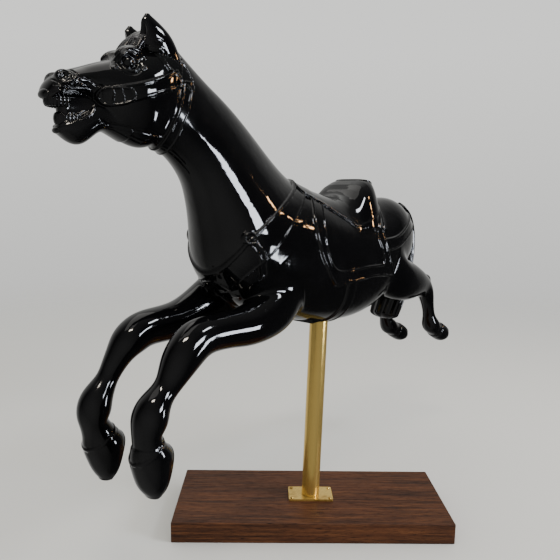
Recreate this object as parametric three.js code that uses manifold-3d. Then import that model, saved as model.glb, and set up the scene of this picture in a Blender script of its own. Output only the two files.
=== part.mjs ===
// A carved carousel horse on a brass pole, a foot plate and a plank.
// Millimetres, +Z up, +X the way the horse faces, +Y its left side.
// The origin lies under the pole on the underside of the plank.
import * as THREE from 'three';
import { mergeVertices } from 'three/addons/utils/BufferGeometryUtils.js';
import Module from 'manifold-3d';

// ---- driving dimensions ----
const PLANK = { length: 570, width: 223, thick: 43, bevel: 1.5 };
const PLANK_TURN = 130;          // degrees from the horse's heading to the plank's long axis
const PLATE = { length: 95, width: 54, thick: 4, corner: 3 };
const SCREW = { headRadius: 3.6, height: 1.6, alongPlate: 41, acrossPlate: 21 };
const POLE = { radius: 19.05, wall: 2, lean: 1.2, top: 470 };
const FIT = 0.3;                 // clearance where two pieces touch
const STRAP_RAISE = 2.6;         // how far straps stand out of the body
const CLOTH_RAISE = 2.4;
const BORDER_RAISE = 3.6;
const SKIRT_RAISE = 5.5;
const FLUTE_DEPTH = 0.07;        // waves of the tail's locks, as a share of its half width
const PRISM_WIDTH = 400;         // wider than the horse, for outlines cut right across it

const COLOURS = {
  lacquer: { color: 0x0b0b0d, roughness: 0.08, metalness: 0 },
  brass: { color: 0xb08d3c, roughness: 0.25, metalness: 1 },
  screw: { color: 0x2a2620, roughness: 0.45, metalness: 1 },
  plank: { color: 0x3c2a24, roughness: 0.4, metalness: 0 },
};

// ---- the horse's limbs ----
// A span row is one cross section seen from the side: the upper or front contour point (x, z), the
// lower or rear contour point (x, z), the middle's y, half the width, and how much narrower the first
// side is than the second. A limb row is a centre (x, y, z), half the depth and half the width.
const TRUNK = [
  [292, 628, 290, 556, 0, 40, 0],
  [272, 664, 268, 520, 0, 66, -0.05],
  [232, 690, 228, 492, 0, 80, -0.05],
  [172, 702, 168, 470, 0, 87, 0],
  [104, 706, 100, 452, 0, 90, 0.05],
  [34, 692, 32, 438, 0, 92, 0.08],
  [-40, 676, -42, 429, 0, 93, 0.08],
  [-110, 672, -112, 430, 0, 92, 0.08],
  [-180, 680, -180, 446, 0, 88, 0.06],
  [-244, 691, -240, 476, 0, 78, 0],
  [-300, 685, -294, 500, 0, 66, 0],
  [-345, 660, -340, 524, 0, 48, 0],
  [-372, 624, -366, 562, 0, 28, 0],
];
const NECK = [
  [372, 893, 430, 754, 0, 30, 0.2],
  [344, 875, 398, 744, 0, 33, 0.3],
  [311, 855, 370, 724, 0, 36, 0.36],
  [272, 833, 347, 696, 0, 41, 0.4],
  [228, 803, 333, 662, 0, 49, 0.4],
  [186, 770, 324, 627, 0, 59, 0.38],
  [147, 740, 318, 592, 0, 70, 0.34],
  [110, 718, 308, 556, 0, 78, 0.28],
  [70, 702, 286, 524, 0, 80, 0.15],
];
const SKULL = [
  [380, 894, 410, 768, 0, 31, 0],
  [403, 901, 427, 752, -2, 38, 0.05],
  [429, 890, 447, 750, -5, 43, 0.02],
  [454, 876, 468, 758, -9, 43, -0.02],
  [478, 863, 486, 771, -11, 37, -0.05],
  [501, 854, 505, 797, -13, 29, 0],
  [523, 845, 522, 809, -16, 25, 0.1],
  [543, 837, 540, 808, -18, 26, 0.05],
  [556, 829, 554, 803, -20, 25, 0.05],
  [564, 820, 562, 799, -21, 20, 0.05],
  [568, 811, 566, 799, -22, 13, 0.05],
];
const JAW = [
  [464, 803, 464, 755, -9, 27, 0.1],
  [488, 809, 482, 763, -11, 24, 0.1],
  [507, 805, 499, 764, -13, 21, 0.05],
  [525, 793, 519, 749, -16, 20, 0],
  [539, 783, 536, 748, -18, 18, 0],
  [550, 773, 547, 755, -19, 14, 0],
  [555, 766, 552, 758, -20, 9, 0],
];
const NEAR_FORE = [
  [150, 40, 520, 46, 34],
  [198, 47, 490, 44, 36],
  [260, 52, 475, 36, 33],
  [307, 52, 474, 31, 29],
  [350, 51, 474, 30, 27],
  [380, 50, 468, 32, 28],
  [402, 50, 453, 31, 28],
  [419, 50, 434, 26, 26],
  [433, 50, 415, 20.5, 20.5],
  [447, 50, 401, 20, 20],
  [460, 50, 387, 24, 25],
  [468, 50, 371, 26, 27],
  [472, 50, 356, 23, 24],
  [473, 50, 343, 21, 22],
  [469, 50, 326, 24, 24],
];
const FAR_FORE = [
  [150, -46, 542, 62, 38],
  [216, -52, 512, 54, 38],
  [278, -52, 490, 42, 34],
  [336, -50, 478, 32, 29],
  [388, -50, 475, 29.5, 28],
  [415, -50, 468, 29, 28],
  [432, -50, 457, 26, 27],
  [446, -50, 442, 21, 22],
  [459, -50, 424, 17.5, 18],
  [470, -50, 407, 17, 17],
  [483, -50, 389, 22, 22],
  [491, -50, 372, 25, 25],
  [494, -50, 357, 23, 24],
  [492, -50, 344, 21, 22],
  [485, -50, 326, 25, 24],
];
const NEAR_HIND = [
  [-190, 48, 540, 62, 40],
  [-240, 55, 508, 53, 42],
  [-290, 57, 494, 48, 38],
  [-335, 57, 486, 40, 32],
  [-372, 56, 478, 32, 26],
  [-400, 55, 466, 27, 22],
  [-418, 55, 448, 23, 20],
  [-431, 55, 423, 17, 17],
  [-442, 55, 395, 15, 15.5],
  [-450, 55, 375, 18, 19],
  [-461, 55, 359, 22, 23],
  [-476, 55, 348, 20, 22],
  [-492, 55, 340, 21, 22],
];
const FAR_HIND = [
  [-190, -48, 540, 62, 40],
  [-240, -55, 508, 53, 42],
  [-280, -57, 492, 46, 38],
  [-318, -57, 480, 38, 32],
  [-350, -57, 468, 31, 26],
  [-374, -58, 454, 27, 22],
  [-390, -58, 434, 23, 20],
  [-402, -58, 407, 17, 17],
  [-414, -58, 378, 15, 15.5],
  [-425, -58, 356, 18, 19],
  [-438, -58, 342, 22, 23],
  [-455, -58, 332, 20, 22],
  [-472, -58, 325, 21, 22],
];
const NEAR_FORE_HOOF = [
  [496, 332, 446, 332, 50, 24, 0],
  [498, 316, 434, 318, 50, 27, 0],
  [494, 297, 436, 296, 50, 27, 0],
  [486, 274, 444, 272, 50, 23, 0],
  [474, 257, 456, 256, 50, 14, 0],
];
const FAR_FORE_HOOF = [
  [508, 328, 456, 328, -50, 24, 0],
  [509, 312, 446, 314, -50, 28, 0],
  [504, 293, 448, 292, -50, 26, 0],
  [495, 271, 455, 269, -50, 21, 0],
  [485, 255, 466, 254, -50, 12, 0],
];
const NEAR_HIND_HOOF = [
  [-484, 320, -498, 360, 55, 22, 0],
  [-500, 312, -516, 355, 55, 24, 0],
  [-522, 304, -538, 344, 55, 23, 0],
  [-543, 303, -552, 327, 55, 16, 0],
];
const FAR_HIND_HOOF = [
  [-464, 305, -478, 345, -58, 22, 0],
  [-480, 297, -496, 340, -58, 24, 0],
  [-502, 289, -518, 329, -58, 23, 0],
  [-523, 288, -532, 312, -58, 16, 0],
];
const TAIL = [
  [-340, 0, 664, 18, 16],
  [-372, 0, 648, 20, 20],
  [-392, -3, 612, 22, 26],
  [-400, -9, 560, 24, 31],
  [-396, -18, 500, 26, 36],
  [-382, -28, 440, 28, 40],
  [-368, -36, 390, 25, 38],
];

// ---- forms carried along a path ----
// Each number of the rows is carried along a Catmull-Rom curve, three numbers to a curve.
function smoothRows(rows, perSpan) {
  const columns = rows[0].length;
  const samples = Array.from({ length: (rows.length - 1) * perSpan + 1 }, () => []);
  for (let first = 0; first < columns; first += 3) {
    const points = rows.map((row) => new THREE.Vector3(row[first], row[first + 1] ?? 0, row[first + 2] ?? 0));
    const curve = new THREE.CatmullRomCurve3(points, false, 'catmullrom');
    samples.forEach((sample, i) => sample.push(...curve.getPoint(i / (samples.length - 1)).toArray()));
  }
  return samples;
}

// A span row becomes a ring: centre, direction across the side view, half sizes and taper.
function ringsFromSpans(rows, perSpan) {
  return smoothRows(rows, perSpan).map(([ax, az, bx, bz, y, width, taper]) => {
    const across = new THREE.Vector3(ax - bx, 0, az - bz);
    const depth = across.length() / 2;
    const centre = new THREE.Vector3((ax + bx) / 2, y, (az + bz) / 2);
    return { centre, across: across.normalize(), depth, width, taper };
  });
}

// A limb row becomes a ring that stands square to the limb's path in the side view.
function ringsFromLimb(rows, perSpan) {
  const samples = smoothRows(rows, perSpan);
  return samples.map(([x, y, z, depth, width], i) => {
    const before = samples[Math.max(i - 1, 0)];
    const after = samples[Math.min(i + 1, samples.length - 1)];
    const along = new THREE.Vector3(after[0] - before[0], 0, after[2] - before[2]).normalize();
    const across = new THREE.Vector3(-along.z, 0, along.x);
    return { centre: new THREE.Vector3(x, y, z), across, depth, width, taper: 0 };
  });
}

// Both ends are closed by three shrinking rings on a quarter circle and one last point.
function withRoundEnds(rings, bulgeStart, bulgeEnd) {
  const cap = (ring, next, bulge) => {
    const out = ring.centre.clone().sub(next.centre).normalize();
    return [0.42, 0.74, 0.93].map((rise) => {
      const shrink = Math.sqrt(1 - rise * rise);
      const centre = ring.centre.clone().addScaledVector(out, bulge * rise);
      return { ...ring, centre, depth: ring.depth * shrink, width: ring.width * shrink };
    });
  };
  const start = bulgeStart ? cap(rings[0], rings[1], bulgeStart).reverse() : [];
  const end = bulgeEnd ? cap(rings.at(-1), rings.at(-2), bulgeEnd) : [];
  return [...start, ...rings, ...end];
}

// A closed skin over the rings. The angle runs from the first contour over the left side, and flutes are
// shallow waves round the section.
function skin(rings, sides, grow = 0, flutes = 0) {
  const positions = [];
  for (const ring of rings) {
    for (let k = 0; k < sides; k++) {
      const angle = (2 * Math.PI * k) / sides;
      const v = Math.cos(angle);
      const wave = flutes ? 1 + FLUTE_DEPTH * Math.cos(flutes * angle) : 1;
      const depth = (ring.depth + grow) * v * wave;
      const width = (ring.width + grow) * (1 - ring.taper * v) * Math.sin(angle) * wave;
      const point = ring.centre.clone().addScaledVector(ring.across, depth);
      positions.push(point.x, point.y + width, point.z);
    }
  }
  const first = rings[0].centre;
  const last = rings.at(-1).centre;
  positions.push(first.x, first.y, first.z, last.x, last.y, last.z);
  const index = [];
  for (let i = 0; i + 1 < rings.length; i++) {
    for (let k = 0; k < sides; k++) {
      const a = i * sides + k;
      const b = i * sides + ((k + 1) % sides);
      index.push(a, b, b + sides, a, b + sides, a + sides);
    }
  }
  const startPole = rings.length * sides;
  const endRow = (rings.length - 1) * sides;
  for (let k = 0; k < sides; k++) {
    const next = (k + 1) % sides;
    index.push(startPole, next, k, startPole + 1, endRow + k, endRow + next);
  }
  const geometry = new THREE.BufferGeometry();
  geometry.setAttribute('position', new THREE.Float32BufferAttribute(positions, 3));
  geometry.setIndex(index);
  return facingOut(geometry);
}

// The signed volume tells which way the faces point; a skin that points inwards is turned round.
function facingOut(geometry) {
  const position = geometry.getAttribute('position');
  const index = geometry.getIndex();
  const [a, b, c] = [new THREE.Vector3(), new THREE.Vector3(), new THREE.Vector3()];
  let volume = 0;
  for (let i = 0; i < index.count; i += 3) {
    a.fromBufferAttribute(position, index.getX(i));
    b.fromBufferAttribute(position, index.getX(i + 1));
    c.fromBufferAttribute(position, index.getX(i + 2));
    volume += a.dot(b.cross(c));
  }
  if (volume < 0) geometry.setIndex(Array.from(index.array).reverse());
  return geometry;
}

// ---- joining and cutting ----
const wasm = await Module();
wasm.setup();

function solid(geometry) {
  const bare = geometry.clone();
  bare.deleteAttribute('normal');
  bare.deleteAttribute('uv');
  const merged = mergeVertices(bare, 1e-4);
  const mesh = new wasm.Mesh({
    numProp: 3,
    vertProperties: new Float32Array(merged.getAttribute('position').array),
    triVerts: new Uint32Array(merged.getIndex().array),
  });
  return new wasm.Manifold(mesh);
}

function joined(parts) {
  return parts.reduce((sum, part) => sum.add(part));
}

function geometryOf(manifold) {
  const mesh = manifold.getMesh();
  const geometry = new THREE.BufferGeometry();
  geometry.setAttribute('position', new THREE.BufferAttribute(new Float32Array(mesh.vertProperties), 3));
  geometry.setIndex(new THREE.BufferAttribute(new Uint32Array(mesh.triVerts), 1));
  geometry.computeVertexNormals();
  return geometry;
}

// ---- small forms ----
// An egg-shaped solid: centre (x, y, z), its three half sizes, and its tip in the side view in degrees.
function egg([x, y, z], [length, width, height], tip = 0, sides = 10) {
  const geometry = new THREE.SphereGeometry(1, sides, Math.round(sides * 0.6));
  geometry.scale(length, width, height).rotateY(THREE.MathUtils.degToRad(-tip)).translate(x, y, z);
  return solid(geometry);
}

// A block across the whole horse whose side view is the outline; the outline's last stretch closes it.
function sidePrism(outline) {
  const shape = new THREE.Shape();
  shape.moveTo(...outline[0]);
  outline.slice(1).forEach((point) => shape.lineTo(...point));
  const geometry = new THREE.ExtrudeGeometry(shape, { depth: PRISM_WIDTH, bevelEnabled: false });
  geometry.rotateX(Math.PI / 2).translate(0, PRISM_WIDTH / 2, 0);
  return solid(geometry);
}

// The outline of a band between two lines of side-view points, each carried along a smooth curve.
function band(upper, lower, steps = 10) {
  const smooth = (points) => new THREE.SplineCurve(points.map((p) => new THREE.Vector2(...p)))
    .getPoints(steps).map((p) => [p.x, p.y]);
  return [...smooth(upper), ...smooth(lower).reverse()];
}

// A lock of hair: a tapering limb through its points, thickest a third of the way along.
function lock(points, thick) {
  const rows = points.map(([x, y, z], i) => {
    const along = i / (points.length - 1);
    const swell = thick * Math.sqrt(Math.max(0.04, 1 - (1.6 * along - 0.6) ** 2));
    return [x, y, z, swell, swell];
  });
  return solid(skin(ringsFromLimb(rows, 2), 5));
}

// ---- the horse ----
const trunk = (grow) => solid(skin(withRoundEnds(ringsFromSpans(TRUNK, 1), 12, 12), 20, grow));
const neck = (grow) => solid(skin(ringsFromSpans(NECK, 1), 16, grow));
const body = (grow) => trunk(grow).add(neck(grow));
const skull = (grow) => solid(skin(withRoundEnds(ringsFromSpans(SKULL, 1), 0, 4), 16, grow));
const jaw = solid(skin(withRoundEnds(ringsFromSpans(JAW, 1), 0, 3), 12));

// Each leg ends in a hoof whose sole is cut flat behind the line between heel and toe.
function leg(limb, hoof, sole) {
  const upper = solid(skin(ringsFromLimb(limb, 1), 10));
  const foot = solid(skin(withRoundEnds(ringsFromSpans(hoof, 1), 0, 4), 10));
  return upper.add(foot.subtract(sidePrism(sole)));
}
const legs = joined([
  leg(NEAR_FORE, NEAR_FORE_HOOF, [[434, 318], [456, 248], [396, 240], [394, 318]]),
  leg(FAR_FORE, FAR_FORE_HOOF, [[446, 314], [470, 245], [408, 236], [406, 314]]),
  leg(NEAR_HIND, NEAR_HIND_HOOF, [[-512, 356], [-566, 318], [-566, 380], [-512, 380]]),
  leg(FAR_HIND, FAR_HIND_HOOF, [[-492, 341], [-546, 303], [-546, 365], [-492, 365]]),
  egg([-414, 55, 486], [16, 12, 12], 30),
  egg([-390, -58, 472], [16, 12, 12], 30),
]);

// The tail is carved as locks: five flutes run down it.
const tail = solid(skin(withRoundEnds(ringsFromLimb(TAIL, 1), 0, 16), 20, 0, 5));

// Head: brows and eyeballs stand out, the nostrils are sunk, teeth line both lips, ears point forwards.
const HEAD_TURN = -0.12;         // how far the head swings to the right for each millimetre past the poll
const headMiddle = (x) => HEAD_TURN * (x - 392);
const onBothSides = (make) => [1, -1].map(make);
const EYE = { x: 458, z: 857, out: 23, radius: 9.5 };
const BROW = { x: 455, z: 870, out: 19 };
// A detail of the head's sides. The turn of the head carries the left one forward, the right one back.
const headPoint = (side, { x, z, out }) => [x - side * out * HEAD_TURN, headMiddle(x) + side * out, z];
const eyes = joined(onBothSides((side) => {
  const brow = egg(headPoint(side, BROW), [22, 11, 11], -20, 10);
  return brow.add(egg(headPoint(side, EYE), [EYE.radius, EYE.radius, EYE.radius], 0, 8));
}));
const NOSTRIL = { x: 547, z: 826, out: 13 };
const NOSTRIL_HOLE = { x: 549, z: 827, out: 20 };
const nostrilRims = joined(onBothSides((side) => egg(headPoint(side, NOSTRIL), [10, 7, 8], -20, 8)));
const nostrilHoles = joined(onBothSides((side) => egg(headPoint(side, NOSTRIL_HOLE), [5, 4, 4], 0, 6)));
const tongue = solid(skin(ringsFromSpans([
  [480, 812, 478, 780, -10, 16, 0],
  [515, 806, 511, 776, -14, 14, 0],
  [542, 800, 540, 770, -18, 12, 0],
], 1), 8));

// A row of teeth is a horseshoe-shaped ridge with a scalloped front.
const TEETH = 8;
const TEETH_STEPS = 20;
function teethRow(front, low, high, reach, halfWidth) {
  const arch = (scale, scallop) => Array.from({ length: TEETH_STEPS + 1 }, (_, i) => {
    const angle = Math.PI * (i / TEETH_STEPS - 0.5);
    const wave = scale + scallop * Math.abs(Math.cos(TEETH * (angle + Math.PI / 2) / 2 + Math.PI / 2));
    return [front - reach + reach * Math.cos(angle) * wave, halfWidth * Math.sin(angle) * wave];
  });
  const shape = new THREE.Shape();
  const outline = [...arch(0.94, 0.06), ...arch(0.62, 0).reverse()];
  outline.forEach(([x, y], i) => (i ? shape.lineTo(x, y + headMiddle(x)) : shape.moveTo(x, y + headMiddle(x))));
  const ridge = new THREE.ExtrudeGeometry(shape, { depth: high - low, bevelEnabled: false, curveSegments: 1 });
  return solid(ridge.translate(0, 0, low));
}
const teeth = teethRow(572, 789, 806, 42, 19).add(teethRow(559, 766, 786, 40, 15));

const EAR = [
  [446, 886, 380, 868, 20, 12, 0],
  [449, 897, 391, 888, 22, 11, 0],
  [448, 908, 403, 904, 23, 9, 0],
  [446, 917, 419, 916, 23, 7, 0],
  [442, 923, 432, 923, 23, 4, 0],
];
const FAR_EAR_HEIGHT = 0.84;
const EAR_HOLLOW = { x: 447, z: 905, out: 27 };
const ears = joined(onBothSides((side) => {
  const rows = EAR.map(([ax, az, bx, bz, out, width, taper]) => {
    const [x, y] = headPoint(side, { x: 430, z: az, out });
    const height = (z) => (side > 0 ? z : 878 + (z - 878) * FAR_EAR_HEIGHT);
    return [ax + x - 433, height(az), bx + x - 433, height(bz), y, width, taper];
  });
  const shell = solid(skin(withRoundEnds(ringsFromSpans(rows, 1), 0, 3), 10));
  return shell.subtract(egg(headPoint(side, EAR_HOLLOW), [9, 8, 16], -12, 8));
}));
const forelock = joined([-20, -8, 4, 16].map((y, i) => lock([
  [408 - Math.abs(y) * 0.4, y * 0.5 - 4, 893],
  [426, y * 0.8 - 4, 902 - Math.abs(y) * 0.2],
  [444, y - 5, 893 - Math.abs(y) * 0.3],
  [460 - (i % 2) * 5, y * 1.15 - 6, 878 - Math.abs(y) * 0.5],
], 8)));

// The mane falls on the right side of the neck: a row of locks from the crest.
const MANE_LOCKS = 8;
const crest = new THREE.CatmullRomCurve3(NECK.map(([x, z]) => new THREE.Vector3(x, 0, z)), false, 'catmullrom');
const mane = joined(Array.from({ length: MANE_LOCKS }, (_, i) => {
  const root = crest.getPoint((i + 0.4) / (MANE_LOCKS + 2));
  const spread = i / MANE_LOCKS;
  const fall = 58 + 26 * spread;
  return lock([
    [root.x + 4, -4, root.z - 16],
    [root.x + 3, -19 - 6 * spread, root.z - 26],
    [root.x, -30 - 16 * spread, root.z - 0.62 * fall],
    [root.x - 16, -36 - 26 * spread, root.z - fall],
  ], 13);
}));

// Saddle: a padded seat that rises to the cantle, over skirts that come to a point on each flank.
const SEAT = [
  [112, 700, 108, 640, 0, 30, 0],
  [62, 691, 60, 622, 0, 44, 0],
  [10, 686, 10, 606, 0, 52, 0],
  [-40, 686, -40, 600, 0, 55, 0],
  [-90, 692, -84, 606, 0, 54, 0],
  [-134, 700, -118, 624, 0, 40, 0],
];
// The cantle is a block of oval plan that widens downwards; its top follows a line in the side view. The seat
// is dished out in front of its rim.
const CANTLE = { x: -98, reach: 62, halfWidth: 44, low: 636, high: 750 };
const CANTLE_SIDE = [
  [-36, 636], [-36, 682], [-60, 689], [-84, 709], [-104, 721], [-130, 730], [-186, 734], [-186, 636],
];
const CANTLE_SPREAD = 1.45;      // its size at the bottom, as a share of that at the top
const SCOOP = { centre: [-60, 0, 766], sizes: [90, 40, 62] };
const cantleBlock = new THREE.CylinderGeometry(1, CANTLE_SPREAD, CANTLE.high - CANTLE.low, 24)
  .rotateX(Math.PI / 2);
cantleBlock.scale(CANTLE.reach, CANTLE.halfWidth, 1).translate(CANTLE.x, 0, (CANTLE.low + CANTLE.high) / 2);
const cantle = solid(cantleBlock).intersect(sidePrism(CANTLE_SIDE));
const seatBody = solid(skin(withRoundEnds(ringsFromSpans(SEAT, 1), 6, 12), 16));
const seat = seatBody.add(cantle).subtract(egg(SCOOP.centre, SCOOP.sizes, 6, 14));
const SKIRT = [
  [116, 700], [96, 688], [72, 678], [48, 667], [22, 657], [-2, 645], [-26, 634],
  [-46, 630], [-69, 634], [-108, 647], [-150, 668], [-176, 684], [-150, 716], [60, 716],
];
const CLOTH_EDGE = [
  [84, 702], [107, 671], [121, 640], [119, 600], [103, 567], [80, 539], [58, 519], [-5, 523], [-82, 526],
  [-129, 523], [-173, 518], [-151, 550], [-140, 590], [-141, 624], [-166, 658], [-196, 690],
];
const CLOTH_PANEL = [
  [56, 688], [78, 660], [90, 634], [96, 606], [86, 573], [68, 554], [48, 547], [-30, 550], [-110, 548],
  [-118, 572], [-110, 609], [-124, 640], [-160, 668],
];
const STRAPS = {
  collar: band(
    [[128, 706], [180, 682], [220, 662], [256, 640], [282, 620], [297, 600], [308, 578], [312, 556]],
    [[100, 692], [147, 663], [183, 640], [208, 619], [233, 598], [257, 577], [276, 558], [284, 536]],
  ),
  girth: [[24, 530], [6, 416], [-22, 416], [-8, 530]],
  breeching: band([[-130, 603], [-182, 606], [-230, 618], [-300, 645], [-380, 668]],
    [[-130, 574], [-182, 579], [-230, 590], [-300, 615], [-380, 636]], 5),
};
const BRIDLE = {
  cheekStrap: [[504, 821], [400, 851], [398, 828], [480, 800]],
  crownStrap: band([[442, 896], [430, 877], [408, 852], [394, 842]],
    [[420, 900], [411, 880], [392, 860], [374, 846]], 5),
  throatStrap: band([[380, 846], [396, 820], [408, 786], [424, 742]],
    [[364, 842], [376, 816], [390, 780], [402, 738]], 5),
};
const BIT_PLATE = [
  [516, 806], [512, 815], [500, 822], [472, 828], [463, 822], [463, 806], [470, 797], [494, 792], [508, 796],
];
const BIT_PLATE_RAISE = 4.2;
const wrapped = (grown, outline) => grown.intersect(sidePrism(outline));
const strapBody = body(STRAP_RAISE);
const tack = joined([
  seat,
  wrapped(trunk(SKIRT_RAISE), SKIRT),
  wrapped(trunk(CLOTH_RAISE), CLOTH_EDGE),
  wrapped(trunk(BORDER_RAISE), CLOTH_PANEL),
  ...Object.values(STRAPS).map((outline) => wrapped(strapBody, outline)),
  ...Object.values(BRIDLE).map((outline) => wrapped(skull(STRAP_RAISE), outline)),
  wrapped(skull(BIT_PLATE_RAISE), BIT_PLATE),
]);
// The block under the belly that the pole goes into.
const PAD = { size: [76, 56, 20], centre: [12, 0, 447] };
const pad = solid(new THREE.BoxGeometry(...PAD.size).translate(...PAD.centre));

const carving = joined([
  body(0), skull(0), jaw, tongue, teeth, eyes, nostrilRims, ears, forelock, mane, legs, tail, tack, pad,
]).subtract(nostrilHoles);

// ---- pole, foot plate, screws and plank ----
const plateTop = PLANK.thick + FIT + PLATE.thick;
const lean = THREE.MathUtils.degToRad(POLE.lean);
const poleFoot = plateTop + FIT + POLE.radius * Math.sin(lean);
const plankTurn = THREE.MathUtils.degToRad(PLANK_TURN);
const leanAxis = new THREE.Vector3(-Math.sin(plankTurn), Math.cos(plankTurn), 0);

const POLE_SIDES = 32;

// A tube or rod standing on the foot plate, leaning the pole's way.
function standing(profile) {
  const geometry = new THREE.LatheGeometry(profile.map(([r, z]) => new THREE.Vector2(r, z)), POLE_SIDES);
  geometry.rotateX(Math.PI / 2);
  geometry.applyQuaternion(new THREE.Quaternion().setFromAxisAngle(leanAxis, lean));
  return facingOut(mergeVertices(stripped(geometry), 1e-4)).translate(0, 0, poleFoot);
}
function stripped(geometry) {
  geometry.deleteAttribute('normal');
  geometry.deleteAttribute('uv');
  return geometry;
}
const tubeLength = POLE.top - poleFoot;
const tube = standing([
  [POLE.radius - POLE.wall, 0], [POLE.radius, 0], [POLE.radius, tubeLength],
  [POLE.radius - POLE.wall, tubeLength], [POLE.radius - POLE.wall, 0],
]);
const socket = solid(standing([
  [0, 0], [POLE.radius + FIT, 0], [POLE.radius + FIT, tubeLength + FIT], [0, tubeLength + FIT],
]));
// Where locks and straps meet, a cut can leave a sliver behind; only the horse itself is kept.
const larger = (kept, other) => (other.volume() > kept.volume() ? other : kept);
const horse = carving.subtract(socket).decompose().reduce(larger);

function piece(name, geometry, look) {
  const mesh = new THREE.Mesh(geometry, new THREE.MeshStandardMaterial(COLOURS[look]));
  mesh.name = name;
  return mesh;
}

const object = new THREE.Group();
object.add(piece('horse', geometryOf(horse), 'lacquer'));
object.add(piece('pole', tube, 'brass'));

// Plank, plate and screws share one group, turned the way the plank lies under the horse.
const stand = new THREE.Group();
stand.rotation.z = plankTurn;
function roundedPlate(length, width, corner) {
  const shape = new THREE.Shape();
  const [x, y] = [length / 2, width / 2];
  shape.moveTo(-x + corner, -y);
  shape.lineTo(x - corner, -y).absarc(x - corner, -y + corner, corner, -Math.PI / 2, 0);
  shape.lineTo(x, y - corner).absarc(x - corner, y - corner, corner, 0, Math.PI / 2);
  shape.lineTo(-x + corner, y).absarc(-x + corner, y - corner, corner, Math.PI / 2, Math.PI);
  shape.lineTo(-x, -y + corner).absarc(-x + corner, -y + corner, corner, Math.PI, 1.5 * Math.PI);
  return shape;
}
const { bevel } = PLANK;
const board = new THREE.ExtrudeGeometry(roundedPlate(PLANK.length - 2 * bevel, PLANK.width - 2 * bevel, 0.5), {
  depth: PLANK.thick - 2 * bevel, bevelThickness: bevel, bevelSize: bevel, bevelSegments: 1, curveSegments: 1,
});
stand.add(piece('plank', board.translate(0, 0, bevel), 'plank'));
const footPlate = new THREE.ExtrudeGeometry(roundedPlate(PLATE.length, PLATE.width, PLATE.corner), {
  depth: PLATE.thick, bevelEnabled: false, curveSegments: 4,
});
stand.add(piece('foot_plate', footPlate.translate(0, 0, PLANK.thick + FIT), 'brass'));
let screwNumber = 0;
for (const sx of [-1, 1]) {
  for (const sy of [-1, 1]) {
    screwNumber += 1;
    const head = new THREE.LatheGeometry([
      new THREE.Vector2(0, 0), new THREE.Vector2(SCREW.headRadius, 0),
      new THREE.Vector2(SCREW.headRadius * 0.72, SCREW.height), new THREE.Vector2(0, SCREW.height),
    ], 16).rotateX(Math.PI / 2);
    const screw = piece(`plate_screw_${screwNumber}`, head, 'screw');
    screw.position.set(sx * SCREW.alongPlate, sy * SCREW.acrossPlate, plateTop + FIT);
    stand.add(screw);
  }
}
object.add(stand);

export default object;
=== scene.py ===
# A carved carousel horse in black lacquer on its brass pole, foot plate and stained plank.
# The horse is worked out here with all its carved relief; pole, plate, screws and plank keep their plain
# solids and get their finishes. Lengths in the tables are millimetres.
from concurrent.futures import ThreadPoolExecutor
import bpy
import numpy as np
from mathutils import Matrix, Vector


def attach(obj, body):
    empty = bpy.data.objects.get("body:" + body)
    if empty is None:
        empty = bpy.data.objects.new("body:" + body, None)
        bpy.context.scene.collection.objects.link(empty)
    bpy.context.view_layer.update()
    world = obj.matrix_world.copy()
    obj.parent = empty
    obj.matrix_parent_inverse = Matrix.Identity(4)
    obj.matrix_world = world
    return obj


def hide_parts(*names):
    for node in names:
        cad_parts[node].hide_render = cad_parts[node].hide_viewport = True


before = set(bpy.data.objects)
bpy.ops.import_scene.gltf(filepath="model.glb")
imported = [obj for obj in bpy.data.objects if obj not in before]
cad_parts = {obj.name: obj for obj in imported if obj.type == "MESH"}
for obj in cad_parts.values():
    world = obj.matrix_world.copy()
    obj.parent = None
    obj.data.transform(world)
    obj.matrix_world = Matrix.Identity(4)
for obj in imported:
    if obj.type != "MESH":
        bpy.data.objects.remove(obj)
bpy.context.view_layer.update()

# ----------------------------------------
# Camera. It stands off the horse's left shoulder, a little above the belly, and looks slightly down.
# The plank's long edge is the reference: yaw, pitch and roll are turned from it.
PLANK_TURN = np.radians(130)
CAMERA_AT = (0.94184, 0.66217, 0.67836)
CAMERA_YAW, CAMERA_PITCH, CAMERA_ROLL = np.radians((1.1754, 8.0200, 1.0517))

camera_data = bpy.data.cameras.new("camera")
camera_data.lens, camera_data.sensor_width = 36.0, 36.0
camera = bpy.data.objects.new("camera", camera_data)
camera.matrix_world = (
    Matrix.Translation(CAMERA_AT) @ Matrix.Rotation(PLANK_TURN - CAMERA_YAW, 4, "Z")
    @ Matrix.Rotation(np.pi / 2 - CAMERA_PITCH, 4, "X") @ Matrix.Rotation(CAMERA_ROLL, 4, "Z"))
bpy.context.scene.collection.objects.link(camera)
bpy.context.scene.camera = camera

# ----------------------------------------
# Trunk and neck. The real horse is glued up from wooden blocks and carved as one body, so its surface is
# the zero level of one smooth field: each part gives a near-distance, and the parts flow into each other.
# A span row is a cross section seen from the side: first contour point (x, z), second contour point
# (x, z), middle y, half width, and how much narrower the first side is than the second.
FAR = 60.0      # the field's value where a part is too far away to matter
MARGIN = 30.0   # how far round its own box a part's field is worked out
TAPER_END = 1.3     # where a section stops getting narrower or wider, in half depths from its middle


def flowing_curve(rows):
    """Natural cubic spline through the rows at whole numbers, so slope and bend run on without a break."""
    rows = np.array(rows, float)
    count = len(rows)
    system, right = np.eye(count), np.zeros_like(rows)
    for i in range(1, count - 1):
        system[i, i - 1:i + 2] = 1, 4, 1
        right[i] = 6 * (rows[i - 1] - 2 * rows[i] + rows[i + 1])
    bend = np.linalg.solve(system, right)

    def at(t):
        i = np.clip(t.astype(int), 0, count - 2)
        u = (t - i)[:, None]
        v = 1 - u
        return v * rows[i] + u * rows[i + 1] + ((v**3 - v) * bend[i] + (u**3 - u) * bend[i + 1]) / 6
    return at


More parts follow.
